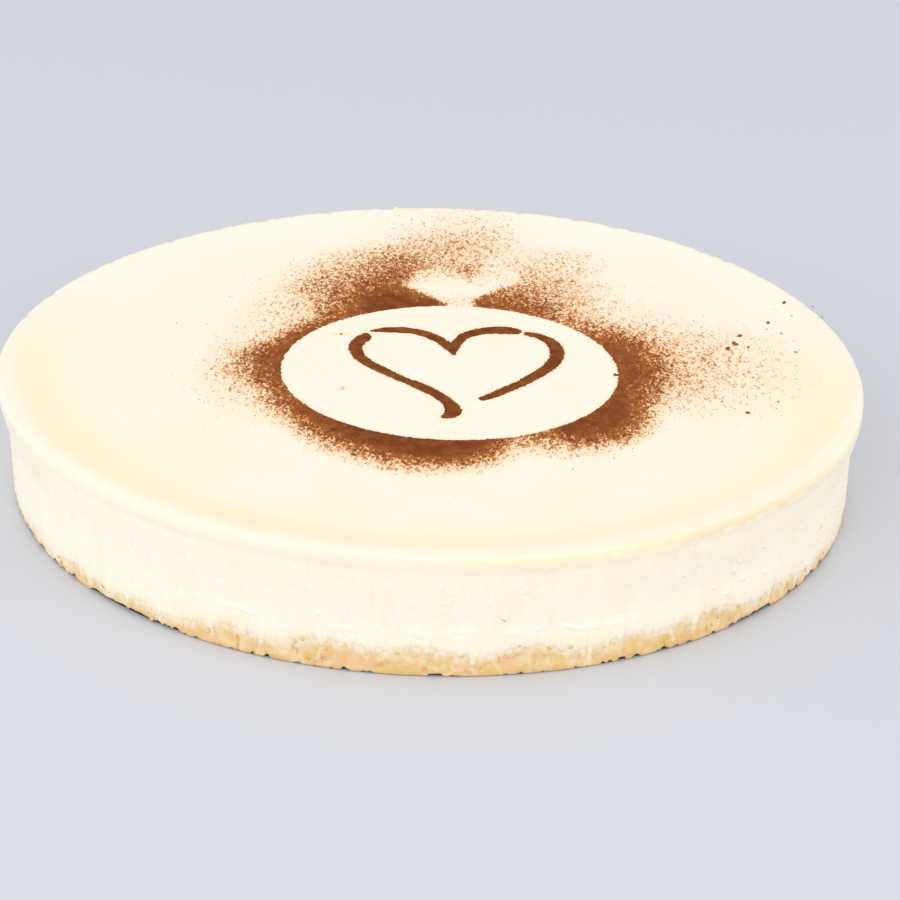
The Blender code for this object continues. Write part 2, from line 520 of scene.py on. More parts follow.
# strokes of the heart: points along each with the width there
strokes = {
    "leftLobe": (
        (-17.6, 21.2, 0.7), (-14.7, 22.1, 3.0), (-10.0, 22.6, 4.1), (-5.4, 21.8, 3.8), (-2.0, 19.8, 3.7),
        (1.3, 16.3, 3.5), (3.9, 11.8, 3.2), (5.4, 7.0, 1.3),
    ),
    "rightLobe": (
        (5.3, 9.5, 1.8), (6.6, 16.2, 3.0), (8.7, 20.2, 3.6), (11.3, 22.4, 4.0), (14.7, 23.9, 4.6),
        (18.7, 24.4, 5.2), (21.6, 23.9, 4.4),
    ),
    "rightSide": (
        (25.9, 22.3, 2.9), (28.7, 20.9, 3.3), (31.4, 17.9, 3.6), (32.9, 14.0, 3.8), (33.3, 9.7, 3.9),
        (32.8, 5.7, 3.9), (31.2, 1.2, 3.8), (28.3, -3.7, 3.6), (24.0, -9.7, 3.4), (19.3, -14.9, 3.2),
        (15.3, -19.2, 3.0), (13.2, -21.0, 2.6),
    ),
    "leftSide": (
        (-18.9, 18.6, 2.2), (-19.4, 16.4, 4.2), (-20.9, 13.0, 4.0), (-21.3, 9.7, 3.7), (-20.9, 6.3, 3.6),
        (-19.8, 3.0, 3.6), (-17.5, -0.7, 3.6), (-14.0, -4.7, 3.4), (-9.7, -9.0, 3.2), (-6.6, -12.0, 3.0),
        (-5.2, -13.0, 3.6), (-2.0, -16.0, 3.8), (1.7, -20.3, 3.6), (4.3, -24.7, 3.7), (5.4, -28.3, 4.3),
        (5.0, -31.3, 4.2), (3.3, -33.2, 2.2),
    ),
}


def discEdge(x, y):
    # distance outside the stencil's disc, and the direction from its middle
    across, along = x - stencil["x"], y - stencil["y"]
    angle = np.arctan2(along, across)
    swell = stencil["oval"] * np.cos(2 * (angle - math.radians(stencil["ovalTurn"])))
    return np.hypot(across, along) - stencil["radius"] - swell, angle


def besideLine(x, y, start, end):
    # distance to the right of the line from start to end; negative to its left
    lengthX, lengthY = end[0] - start[0], end[1] - start[1]
    return ((x - start[0]) * lengthY - (y - start[1]) * lengthX) / math.hypot(lengthX, lengthY)


def handleEdge(x, y):
    # distance outside the stencil's heart-shaped handle: its neck, two lobes and the wedge between them
    neckX, neckY, halfX, halfY = handle["neck"]
    nearest = np.maximum(abs(x - neckX) - halfX, abs(y - neckY) - halfY)
    wedge = np.maximum(besideLine(x, y, *handle["rightSide"]), -besideLine(x, y, *handle["leftSide"]))
    nearest = np.minimum(nearest, np.maximum(wedge, y - handle["shoulder"]))
    for lobeX, lobeY, radius in handle["lobes"]:
        nearest = np.minimum(nearest, np.hypot(x - lobeX, y - lobeY) - radius)
    return nearest


def smoothStroke(stroke, parts=6):
    # a Catmull-Rom curve through the points and widths
    knots = np.array(stroke)
    padded = np.concatenate([[2 * knots[0] - knots[1]], knots, [2 * knots[-1] - knots[-2]]])
    t = (np.arange(parts) / parts)[:, None]
    curve = []
    for before, start, end, after in zip(padded, padded[1:], padded[2:], padded[3:]):
        bend = 2 * start + (end - before) * t + (2 * before - 5 * start + 4 * end - after) * t ** 2
        curve.append(0.5 * (bend + (3 * start - before - 3 * end + after) * t ** 3))
    return np.concatenate(curve + [knots[-1:]])


def strokeEdge(x, y):
    # distance inside the heart's strokes: half the width at the nearest place along one, less how far it is
    deepest = np.full(x.shape, -9.0)
    for stroke in strokes.values():
        curve = smoothStroke(stroke)
        for (startX, startY, startWide), (endX, endY, endWide) in zip(curve, curve[1:]):
            alongX, alongY = endX - startX, endY - startY
            share = ((x - startX) * alongX + (y - startY) * alongY) / (alongX ** 2 + alongY ** 2)
            share = np.clip(share, 0, 1)
            distance = np.hypot(x - startX - share * alongX, y - startY - share * alongY)
            deepest = np.maximum(deepest, (startWide + (endWide - startWide) * share) / 2 - distance)
    return deepest


def smudgeEdge(x, y):
    # above 0 within a smudge, and 1 at its middle
    marks = [1 - np.hypot((x - midX) / across, (y - midY) / along) for midX, midY, across, along in smudges]
    return np.maximum(*marks)


def openEdge(x, y):
    # distance inside the places that the stencil left open: outside its disc, or in the heart's strokes
    nearest = discEdge(x, y)[0]
    within = nearest < 3
    nearest[within] = np.maximum(nearest[within], strokeEdge(x[within], y[within]))
    return np.maximum(nearest, smudgeEdge(x, y))


def cocoaAmount(x, y):
    # the band round the disc, which fades out as a logistic curve, plus every puff, less what the handle kept
    # off; the handle leaked more towards its top
    outside, angle = discEdge(x, y)
    turns, *columns = np.array(band).T
    half, soft, full = (np.interp(np.degrees(angle) % 360, turns, column, period=360) for column in columns)
    fade = np.clip((np.maximum(outside, 0) - half) / soft + stencil["fadeInset"], -30, 30)
    amount = stencil["fullAmount"] * full / (1 + np.exp(fade))
    for puffX, puffY, reachX, reachY, turn, strength in puffs:
        c, s = math.cos(math.radians(turn)), math.sin(math.radians(turn))
        u, v = (x - puffX) * c + (y - puffY) * s, (y - puffY) * c - (x - puffX) * s
        amount = amount + strength * bell(np.hypot(u / reachX, v / reachY), 1.0)
    kept = ease((handleEdge(x, y) + 0.3) / handle["softness"])
    leak = handle["leak"] + handle["upperLeak"] * ease((y - handle["leakFrom"]) / handle["leakOver"])
    amount = np.where(outside < -3, stencil["fullAmount"], amount * (leak + (1 - leak) * kept))
    return np.where(smudgeEdge(x, y) > -0.5, smudgeAmount, amount)


def cocoaOdds(x, y):
    # the log of covered over bare where cover is 1 less e to minus the amount; about -5 where there is none
    return np.log(np.expm1(np.maximum(cocoaAmount(x, y), 0.007)))


def giveCocoa(piece, points):
    # what the finishes need to know of the cocoa at each point; the side of the cake has none
    x, y, onTop = points[:, 0], points[:, 1], points[:, 2] > 30
    giveAttribute(piece, "odds", np.where(onTop, cocoaOdds(x, y), -5.0))
    giveAttribute(piece, "open", np.where(onTop, openEdge(x, y), 5.0))


cocoa = {
    "deep": (0.182, 0.048, 0.012), "mid": (0.355, 0.110, 0.031), "light": (0.700, 0.290, 0.092),
    "haze": (0.960, 0.700, 0.400),
    "stretch": (0.62, 1.25, 1.0),  # grains and clots are narrower across than from front to back
    "grainSize": 0.80, "grainStir": 2.8, "clotSize": 1.70, "clotStir": 6.5,
    "oddsWeight": 0.62, "dry": {"Roughness": 0.95, "Specular IOR Level": 0.06},
}


def cocoaShare(finish):
    # how thick the cocoa lies: the sifted odds stirred by clots and grains
    where = finish.place(*cocoa["stretch"])
    stir = (finish.noise(where, cocoa["clotSize"], detail=3, roughness=0.65) - 0.5) * cocoa["clotStir"]
    stir = stir + (finish.cellShares(where, cocoa["grainSize"]) - 0.5) * cocoa["grainStir"]
    return finish.attribute("odds") * cocoa["oddsWeight"] + stir * 0.9


def cocoaTone(finish, where, share, cream):
    # from cream through light orange to brown as the share rises; far out the grains stay orange
    odds = finish.attribute("odds")
    drift = finish.noise(where, 4, detail=3, roughness=0.65).rising(0.38, 0.70)
    dense = finish.mix(drift * 0.6 + 0.7 - odds.rising(2.4, 4.8) * 0.7, cocoa["deep"], cocoa["mid"])
    cover = share.rising(-1.1, 0.5) * (odds.rising(-4.9, -1.6) * 0.55 + 0.45)
    thin = finish.mix(cover, cream, cocoa["light"])
    return finish.mix(share.rising(0.2, 1.3) * (odds.rising(-3.6, 0.2) * 0.5 + 0.5), thin, dense)


# Filling: curd with a smooth skin on top, a soft lip and a faintly streaked wall

filling = {
    "segments": 1000, "footRows": 8, "wallRows": 26, "swellRows": 9, "lipRows": 8,
    "round": 710.0,  # length round the wall, so that noise cells are true to size
    "streakDepth": 0.04, "swellDepth": 0.14, "pitDepth": 0.30, "curdHeight": 0.20,
    "skinEdge": 29.2, "skinRag": 0.9, "skinStep": 0.12, "chipDepth": 0.30,
    # how far it is smeared down, and where more: strength, then middle and reach in degrees
    "smear": 1.75, "moreSmear": ((1.6, 180, 28), (1.2, -12, 14)), "edgeRag": 1.6, "lowest": 1.6,
    # lengths are least, most and the power that makes short ones more common
    "dribbles": 96, "dribbleHalfWidth": (0.45, 1.15), "dribbleLength": (0.5, 2.9, 1.6),
    "bead": 0.14, "tuck": 0.24,  # how far dribbles stand out, and how far the lower edge is drawn in
}


def aroundWall(angle, size):
    # position round the wall in cells of about size, and how many cells go round
    count = int(round(filling["round"] / size))
    return (angle / fullTurn % 1.0) * count, count


def wallCloud(angle, size, seed, layers, level=0.0):
    # noise 0 to 1 in cells of about size round the wall; level counts the cells upwards
    u, count = aroundWall(angle, size)
    return cloudLayers(u, level, seed, layers, count)


def wallPebbles(angle, height, size, seed):
    u, count = aroundWall(angle, size)
    return pebbles(u, height / size, seed, count)


def dribbleReach(angle):
    # how far the dribbles run down over the biscuit: each one flat-ended, falling off as a fourth power
    rng = np.random.default_rng(7)
    count = filling["dribbles"]
    places = (np.arange(count) + rng.uniform(-0.6, 0.6, count)) * fullTurn / count
    halves = rng.uniform(*filling["dribbleHalfWidth"], count)
    lengths = skewed(rng, count, *filling["dribbleLength"])
    reach = 0 * angle
    for place, half, length in zip(places, halves, lengths):
        away = (np.mod(angle - place + math.pi, fullTurn) - math.pi) * rim["wallFoot"]
        reach = np.maximum(reach, length * np.exp(-(away / half) ** 4))
    return reach


def fillingEdge(angle):
    # the filling's lower edge: smeared past the biscuit's line, most of all at the left and the right, and
    # broken into uneven scallops and dribbles
    smear = filling["smear"] + turnBells(angle, filling["moreSmear"])
    edge = lineHeight(angle) - smear - filling["edgeRag"] * (wallCloud(angle, 4.4, 11, 3) - 0.5)
    return np.maximum(edge - dribbleReach(angle), filling["lowest"])


def wallRelief(angle, height):
    # how far the wall stands out: upright streaks and broad swells, then pits and curds, more at the right
    streaks = wallCloud(angle, 1.6, 21, 2, height / 11) - 0.5
    swells = wallCloud(angle, 22, 24, 1, height / 14) - 0.5
    drawn = filling["streakDepth"] * 2 * streaks + filling["swellDepth"] * 2 * swells
    right = turnBell(angle, -25, 40)
    near, _, own = wallPebbles(angle, height, 3.4, 27)
    pits = (own > 0.90 - 0.15 * right) * ease(1 - near / (0.12 + 0.14 * own))
    near, _, own = wallPebbles(angle, height, 2.6, 31)
    curds = (own > 0.93 - 0.40 * right) * ease(1 - near / 0.30)
    return drawn - filling["pitDepth"] * pits + filling["curdHeight"] * curds


def skinLine(angle):
    # the lower edge of the top's skin, ragged where it let go of the tin
    rag = wallCloud(angle, 1.7, 41, 3)
    right = turnBell(angle, -30, 45)
    return filling["skinEdge"] + 0.8 * right - filling["skinRag"] * (0.5 + 1.6 * right) * (rag - 0.3)


# how yellow the skin is, and where painted shade and painted light lie on it; where a value has bells, each
# is a strength, then a middle and a reach in degrees
yellowingAndShading = {
    "slope": 0.84, "slopeFrom": 91.0, "slopeOver": 15.0, "slopeBells": ((-0.22, -85, 18),),
    "slopeEnd": 109.9, "endBells": ((-6.0, -50, 24), (2.0, -12, 16), (1.2, -130, 24)),
    "lipBells": ((0.62, -82, 26), (1.25, -44, 18), (0.12, -145, 32)),
    "lipRadius": 113.9, "lipHeight": 30.5,  # where the lip's outer side starts to yellow
    "under": 0.45, "underBells": ((0.15, -82, 26),), "underHeight": 28.0,
    "back": -0.35, "crest": -0.16, "crestRadius": 112.0,
}


def warmthAndPaintedShading(radius, angle, height):
    # the rim's inner slope at the front and both sides, painted shade where it faces away from the light; the
    # lip's outer side, most of all at the right, and a line under it; below nought, painted light, on the
    # crest and on the slope at the back
    towardsFront = -np.sin(angle)
    front = ease((towardsFront + 0.25) / 0.5)
    right = turnBell(angle, -50, 24)
    # the slope's warmth is painted shade: only in front and at the sides, where the slope faces away from the
    # light
    slope = yellowingAndShading["slope"] + turnBells(angle, yellowingAndShading["slopeBells"])
    slope = slope * ease((radius - yellowingAndShading["slopeFrom"]) / yellowingAndShading["slopeOver"]) * front
    end = yellowingAndShading["slopeEnd"] + turnBells(angle, yellowingAndShading["endBells"])
    slope = slope * (1 - ease((radius - end) / (2.4 + 4.5 * right)))
    rag = (1.5 + 1.5 * turnBell(angle, -35, 30)) * (wallCloud(angle, 2.6, 45, 3) - 0.5)
    # the lip's yellow at the right is the skin's own; in front and at the left it is painted shade that dims
    # the lip's highlight
    lip = turnBells(angle, yellowingAndShading["lipBells"]) * ease((radius - yellowingAndShading["lipRadius"]) / 0.8)
    lip = lip * ease((height - yellowingAndShading["lipHeight"] + rag) / 0.9)
    under = yellowingAndShading["under"] + turnBells(angle, yellowingAndShading["underBells"])
    under = under * bell(height - yellowingAndShading["underHeight"], 2.6) * (radius > 111.5)
    # paler on the slope at the back: painted light, where the slope faces the light
    back = yellowingAndShading["back"] * ease((radius - 88) / 6) * ease((-towardsFront - 0.15) / 0.4)
    # paler on the crest: a painted highlight
    crest = yellowingAndShading["crest"] * bell(radius - yellowingAndShading["crestRadius"] + 0.6 * right, 1.1) * front
    return np.maximum(np.maximum(slope, lip), under) + back + crest * (height > 31)


def seepAt(height, edge, reach):
    # 1 at the lower edge and in the dribbles, falling fast at first and then slowly
    above = height - edge - 0.6 * reach
    return 0.32 * ease(1 - above / 1.8) + 0.40 * ease(1 - above / 5.5)


def makeFilling():
    count = filling["segments"]
    angle, fineAngle = anglesRound(count), anglesRound(2 * count)
    foot = rim["wallFoot"]
    rings, skins, seeps = [], [], []

    def addRing(radius, height, skin, seep, at=angle):
        radius, height = settle(radius, at, height)
        rings.append(ringPoints(radius, at, height))
        skins.append(np.broadcast_to(skin, at.shape))
        seeps.append(np.broadcast_to(seep, at.shape))

    # the underside, then the foot of the wall with its dribbles
    for radius in (60.0, 104.0):
        addRing(radius, lineHeight(angle) + 0.1, 0.0, 1.0)
    edge, reach = fillingEdge(fineAngle), dribbleReach(fineAngle)
    addRing(foot - 1.4, lineHeight(fineAngle) + 0.1, 0.0, 1.0, fineAngle)
    for inset, lift in ((1.0, 0.24), (0.85, 0.10), (0.70, 0.04)):
        addRing(foot - inset, edge + lift, 0.0, 1.0, fineAngle)
    plain = np.maximum(lineHeight(fineAngle), edge + reach) + 1.2  # the dribbles start no higher than this
    for row in range(filling["footRows"]):
        height = edge + 0.22 + (plain - edge - 0.22) * (row / filling["footRows"]) ** 1.3
        above = height - edge
        bead = filling["bead"] * ease(reach / 0.8) * ease(above / 0.5) * ease(1 - above / 2.2)
        radius = wallRadius(fineAngle, height) - filling["tuck"] * ease(1 - above / 1.5) + bead
        relief = wallRelief(fineAngle, height) * ease(above / 1.2)
        addRing(radius + relief, height, 0.0, seepAt(height, edge, reach), fineAngle)
    # the wall and its swell; in front the skin runs on into the wall, and at the right it is torn
    edge, reach, plain = edge[::2], reach[::2], plain[::2]
    skinEdge = skinLine(angle)
    crest, lip, _ = lipShape(angle)
    smooth = 0.9 * turnBell(angle, -105, 34)
    torn = filling["skinStep"] * (1 - smooth + 0.9 * turnBell(angle, -35, 35))
    swellFrom, wallRows, swellRows = rim["swellFrom"], filling["wallRows"], filling["swellRows"]
    for row in range(wallRows + swellRows):
        if row < wallRows:
            height = plain + (swellFrom - plain) * row / wallRows
        else:
            height = swellFrom + (lip - swellFrom) * (row - wallRows) / swellRows
        skin = ease((height - skinEdge) / (0.5 + 2.5 * smooth) + 0.5)
        relief = wallRelief(angle, height) * (1 - ease((height - 28.5) / 1.5))
        relief = relief + torn * (skin - ease((height - 27.5) / 4))
        addRing(wallRadius(angle, height) + relief, height, skin, seepAt(height, edge, reach))
    # the lip, chipped here and there, mostly at the sides and the back
    chips = ease((wallCloud(angle, 2.4, 51, 3) - 0.58) / 0.14) * filling["chipDepth"]
    chips = chips * (0.35 + 0.65 * ease((np.sin(angle) + 0.2) / 0.6))
    for row in range(filling["lipRows"] + 1):
        turn = 0.5 * math.pi * row / filling["lipRows"]
        radius = crest + (lipRadius - crest) * math.cos(turn)
        height = lip + (crestHeight - lip) * math.sin(turn)
        addRing(radius - chips * math.cos(turn) - 0.1 * chips, height - chips * math.sin(turn), 1.0, 0.0)
    # the top, whose rings have half as many points further in, and then half again
    slope = [112.1, 111.2, 110.2, 109.0] + list(np.arange(107.6, 92, -1.6))
    middle = list(np.arange(91.0, 50, -1.6)) + list(np.arange(49.0, 1.5, -1.0))
    for radius in slope + middle:
        halvings = int(radius < 109) + int(radius < 92) + int(radius < 25)
        addRing(radius, topHeight(radius), 1.0, 0.0, angle[::2 ** halvings])
    poles = (0, 0, biscuitLine["height"] + 0.1), (0, 0, topSurface(0.0, 0.0))
    points, quads, triangles = stackRings(rings, *poles)
    piece = fillMesh("curdFilling", points, quads, triangles)
    giveAttribute(piece, "skin", np.concatenate([[0]] + skins + [[1]]))
    giveAttribute(piece, "seep", np.concatenate([[1]] + seeps + [[0]]))
    x, y, z = points.T
    giveAttribute(piece, "warmAndShading", warmthAndPaintedShading(np.hypot(x, y), np.arctan2(y, x), z))
    giveCocoa(piece, points)
    dress(piece, curdFinish(), "filling", "filling")


curd = {
    # from the palest skin, within the stencil's disc, to the warmest; plain skin is plainShare of the way
    "skinPale": (0.960, 0.905, 0.775), "skinWarm": (0.935, 0.845, 0.620), "plainShare": 0.22,
    "lipGold": (0.880, 0.670, 0.430),  # where the warmth is above 1
    "wallColour": (0.962, 0.895, 0.755), "wallPale": (0.975, 0.935, 0.845), "wallWarm": (0.925, 0.815, 0.540),
    "seepColour": (0.870, 0.670, 0.400), "fleck": (0.972, 0.935, 0.835), "yellowFleck": (0.900, 0.760, 0.380),
    "ledgeAndHighlight": 11.6, "ledgeWave": 6.0,  # height of a faint ledge in the wall's front and of the painted highlight along it, and how much it wanders
}


def curdFinish():
    finish = Finish("bakedCurd", {"IOR": 1.4, "Specular IOR Level": 0.3})
    where, upright = finish.place(), finish.place(z=9)
    skin, seep, warmAndShading = (finish.attribute(name) for name in ("skin", "seep", "warmAndShading"))
    # wall: faint streaks drawn upright by the tin's side, warm patches, a few paler and yellower flecks
    streak = finish.noise(upright, 1.5, roughness=0.6)
    wall = finish.mix(streak.rising(0.35, 0.70) * 0.5, curd["wallColour"], curd["wallPale"])
    broad = finish.noise(finish.place(z=2.5), 6).rising(0.42, 0.75)
    wall = finish.mix(broad * 0.30, wall, curd["wallWarm"])
    wall = finish.mix((1 - finish.cells(where, 3.1).rising(0.10, 0.22)) * 0.9, wall, curd["wallPale"])
    yellow = 1 - finish.cells(finish.place(z=1.5), 4.6).rising(0.06, 0.15)
    wall = finish.mix(yellow * (warmAndShading * 0.6 + 0.4), wall, curd["wallWarm"])
    # a ledge across the front, with a painted highlight along its upper edge
    toFront, level = finish.along(where, 1) * -1, finish.along(where, 2) - curd["ledgeAndHighlight"]
    level = level + (finish.noise(finish.place(z=60), 12) - 0.5) * curd["ledgeWave"]
    ledgeAndHighlight = level.rising(-0.6, 0.4) * (1 - level.rising(0.3, 2.4)) * toFront.rising(80, 104)
    ledgeAndHighlight = ledgeAndHighlight * finish.noise(finish.place(z=3), 5).rising(0.42, 0.60)
    wall = finish.mix(ledgeAndHighlight * 0.9, wall, curd["wallPale"])
    # tan crumb juice drawn up from the biscuit
    smear = seep * finish.noise(finish.place(z=2.6), 1.3, detail=3, roughness=0.6).rising(0.28, 0.66)
    wall = finish.mix(smear * 0.95, wall, curd["seepColour"])
    # skin: a barely seen mottle, warmer on the rim's slope (painted shade) and under the lip, paler where the
    # stencil lay, and paler on the crest and the slope at the back (painted light)
    odds, inside = finish.attribute("odds"), finish.attribute("open")
    mottle = finish.noise(where, 20, detail=1).rising(0.35, 0.75)
    plain = mottle * 0.16 + inside.rising(-3.0, 0.5) * curd["plainShare"]
    cream = finish.mix(warmAndShading * 0.72 + plain, curd["skinPale"], curd["skinWarm"])
    cream = finish.mix(warmAndShading - 1, cream, curd["lipGold"])
    colour = finish.mix(skin, finish.mix(warmAndShading * 0.6, wall, curd["skinWarm"]), cream)
    # cocoa: a haze of the finest dust first, then grains
    ragged = inside + (finish.noise(where, 0.9, roughness=0.6) - 0.5) * 1.5
    share = cocoaShare(finish) - (1 - ragged.rising(-0.25, 0.35)) * 6
    haze = odds.rising(-4.6, -0.2) * ragged.rising(-1.2, 0.4) * (share.rising(-3.5, 0.5) * 0.65 + 0.35)
    colour = finish.mix(haze * 0.95, colour, cocoa["haze"])
    cover = share.rising(-0.5, 0.8)
    colour = cocoaTone(finish, where, share, colour)
    rough = mottle * 0.08 + 0.42 + (1 - skin) * 0.14 + cover * 0.35 + warmAndShading * 0.15
    # on the wall the relief is drawn upright, and on the skin it is rounder and lower
    frames = {0: skin, 4: upright, 5: finish.place(6, 6, 6)}
    drawn = finish.add("ShaderNodeMix", {"data_type": "VECTOR"}, frames, output=1)
    relief = finish.bump(finish.noise(drawn, 0.6, roughness=0.6), 0.05)
    relief = finish.bump(ledgeAndHighlight, 0.12, relief)
    relief = finish.bump(finish.noise(where, 0.45, detail=1), 0.16, relief, strength=cover)
    return finish.drive(Base_Color=colour, Roughness=rough, Normal=relief)


makeFilling()
print("filling is made")


# Biscuit: pressed crumb, cut by the tin's side, crumbling over the tin's edge

biscuit = {
    "segments": 1200, "rows": 20, "radius": 112.2,
    "coarse": 2.4, "coarseDepth": 0.24, "fine": 1.1, "fineDepth": 0.10, "pitDepth": 0.45,
    "footGap": 0.75, "footRag": 0.75,  # height left bare at the tin's edge, and how much more in places
    "footLow": 0.17,  # where the crumbs end that hang over the edge
    # how readily the foot is bare all round, and where more so: strength, then middle and reach in degrees
    "bare": 0.22, "barer": ((0.64, -129, 11), (0.38, -45, 26), (0.40, 110, 60)),
}


def biscuitFoot(angle):
    # the lower edge: crumbs hang over the tin's edge, more of them in front than at the left and the right
    bare = 0 * angle + biscuit["bare"]
    for strength, middle, reach in biscuit["barer"]:
        bare = np.maximum(bare, strength * turnBell(angle, middle, reach))
    rag = 0.75 * wallCloud(angle, 2.0, 61, 3) + 0.25 * wallCloud(angle, 11, 65, 1)
    show = ease((bare - rag + 0.24) / 0.22)
    gap = biscuit["footGap"] + biscuit["footRag"] * wallCloud(angle, 1.5, 67, 2)
    return biscuit["footLow"] + (gap - biscuit["footLow"]) * show


def crumbRelief(angle, height):
    # rounded crumbs in two sizes, with seams between them and some fallen out
    near, second, own = wallPebbles(angle, height, biscuit["coarse"], 71)
    relief = biscuit["coarseDepth"] * (ease((second - near) / 0.6) * (0.5 + 0.5 * own) - 0.5)
    missing = (own > 0.88) * ease((second - near) / 0.5)
    near, second, own = wallPebbles(angle, height, biscuit["fine"], 75)
    relief = relief + biscuit["fineDepth"] * (ease((second - near) / 0.6) * own - 0.4)
    return relief - biscuit["pitDepth"] * missing


def makeBiscuit():
    angle = anglesRound(biscuit["segments"])
    foot, line, edge = biscuitFoot(angle), lineHeight(angle), fillingEdge(angle)
    under = tinHigh.z + 0.3
    rings, soaks = [], []

    def addRing(radius, height, soak):
        rings.append(ringPoints(radius, angle, height))
        soaks.append(np.broadcast_to(soak, angle.shape))

    for radius in (60.0, tinHigh.x - 0.6):
        addRing(radius, under, 0.0)
    addRing(tinHigh.x + 0.12, np.minimum(under, foot + 0.5), 0.0)
    addRing(tinHigh.x + 0.2, foot + 0.06, 0.0)
    for row in range(biscuit["rows"] + 1):
        share = row / biscuit["rows"]
        height = foot + (line + 0.2 - foot) * share
        relief = crumbRelief(angle, height) * ease(share * 12) - 0.25 * (1 - ease(share * 9))
        soak = np.exp(-np.maximum(edge - height, 0) / 1.3)
        addRing(np.maximum(biscuit["radius"] + relief, tinHigh.x + 0.3), height, soak)
    for radius in (110.8, 104.0, 60.0):
        addRing(radius, line, 1.0)
    points, quads, triangles = stackRings(rings, (0, 0, under), (0, 0, line.mean()))
    piece = fillMesh("pressedBiscuit", points, quads, triangles)
    giveAttribute(piece, "soak", np.concatenate([[0]] + soaks + [[1]]))
    dress(piece, biscuitFinish(), "biscuit", "biscuit_base")


crumb = {
    "sand": (0.780, 0.530, 0.225), "pale": (0.850, 0.665, 0.385), "pink": (0.840, 0.530, 0.280),
    "toast": (0.690, 0.300, 0.085), "yellow": (0.780, 0.510, 0.110), "cream": (0.930, 0.840, 0.670),
}


def biscuitFinish():
    finish = Finish("pressedCrumb", {"Specular IOR Level": 0.25})
    where, upright = finish.place(), finish.place(z=1.9)
    colour = finish.mix(finish.noise(where, 3.4, detail=3).rising(0.40, 0.62), crumb["sand"], crumb["pale"])
    pink = finish.noise(upright, 3.0).rising(0.53, 0.66)
    colour = finish.mix(pink * 0.75, colour, crumb["pink"])
    yellow = finish.cellShares(upright, 2.0).rising(0.72, 0.86)
    colour = finish.mix(yellow * 0.55, colour, crumb["yellow"])
    toasted = finish.noise(upright, 1.7, detail=3, roughness=0.65).rising(0.56, 0.70)
    colour = finish.mix(toasted * 0.80, colour, crumb["toast"])
    # cream smeared down over the crumb in upright fingers
    drawn = finish.noise(finish.place(z=3.0), 1.4, detail=3).rising(0.25, 0.60)
    colour = finish.mix(finish.attribute("soak") * (drawn * 0.8 + 0.2), colour, crumb["cream"])
    relief = finish.bump(finish.noise(where, 0.5, roughness=0.65), 0.10)
    return finish.drive(Base_Color=colour, Roughness=0.85, Normal=relief)


makeBiscuit()
print("biscuit is made")


# Tin base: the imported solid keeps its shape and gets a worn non-stick finish

tin = {"coating": (0.030, 0.028, 0.027), "dust": (0.110, 0.095, 0.080), "dustShare": 0.5}


def dressTin():
    finish = Finish("nonStickCoating", {"Metallic": 0.35})
    where = finish.place()
    dust = finish.noise(where, 1.6, detail=5, roughness=0.7).rising(0.55, 0.80)
    colour = finish.mix(dust * tin["dustShare"], tin["coating"], tin["dust"])
    rough = finish.noise(where, 5, detail=3) * 0.25 + 0.32
    relief = finish.bump(finish.noise(where, 0.4), 0.02)
    material = finish.drive(Base_Color=colour, Roughness=rough, Normal=relief)
    node = next(node for node in bpy.data.objects if node.get("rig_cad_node") == "tin_base")
    for slot in node.material_slots:
        slot.material = material


dressTin()
print("tin base is dressed")


# Cocoa relief: a low, grainy sheet where it lies thick

def cocoaFinish():
    finish = Finish("siftedCocoa", cocoa["dry"])
    where = finish.place()
    share = cocoaShare(finish)
    colour = cocoaTone(finish, where, share, cocoa["haze"])
    relief = finish.bump(finish.noise(where, 0.4, roughness=0.7), 0.05)
    return finish.drive(Base_Color=colour, Normal=relief)


def grainFinish(name, dark, pale):
    # each grain has its own tone from dark to pale; where the cocoa lies thick, that of the cocoa round it
    finish = Finish(name, cocoa["dry"])
    tone = finish.cellShares(finish.place(), cocoa["grainSize"]).rising(0.1, 0.9)
    thick = finish.attribute("odds").rising(-1.5, 1.5)
    among = finish.mix(tone, cocoa["deep"], cocoa["mid"])
    return finish.drive(Base_Color=finish.mix(thick, finish.mix(tone, dark, pale), among))


def reliefSheet(name, sheet, reach, rise, material):
    # a closed sheet on the cake's top: cells with a corner above it are kept, and the underside is sunk in
    left, right, front, back = reach
    x, y = np.meshgrid(np.arange(left, right, sheet["cell"]), np.arange(front, back, sheet["cell"]))
    above, surface = rise(x, y), topSurface(x, y)
    proud = above > 0
    kept = proud[:-1, :-1] | proud[1:, :-1] | proud[:-1, 1:] | proud[1:, 1:]
    upper = np.stack([x, y, surface + above], -1).reshape(-1, 3)
    lower = np.stack([x, y, surface - sheet["sunk"]], -1).reshape(-1, 3)
    number = np.arange(x.size).reshape(x.shape)
    a, b, c, d = number[:-1, :-1], number[:-1, 1:], number[1:, 1:], number[1:, :-1]
    under = x.size
    faces = [np.stack([a, b, c, d], -1)[kept], np.stack([d, c, b, a], -1)[kept] + under]
    fence = np.pad(kept, 1)
    sides = (
        (fence[:-2, 1:-1], a, b), (fence[2:, 1:-1], c, d), (fence[1:-1, :-2], d, a), (fence[1:-1, 2:], b, c),
    )
    for neighbour, start, end in sides:
        edge = kept & ~neighbour
        start, end = start[edge], end[edge]
        faces.append(np.stack([start + under, end + under, end, start], -1))
    faces = np.concatenate(faces)
    used, renumbered = np.unique(faces, return_inverse=True)
    points = np.concatenate([upper, lower])[used]
    piece = fillMesh(name, points, quads=renumbered.reshape(faces.shape))
    giveCocoa(piece, points)
    dress(piece, material, "cocoa")


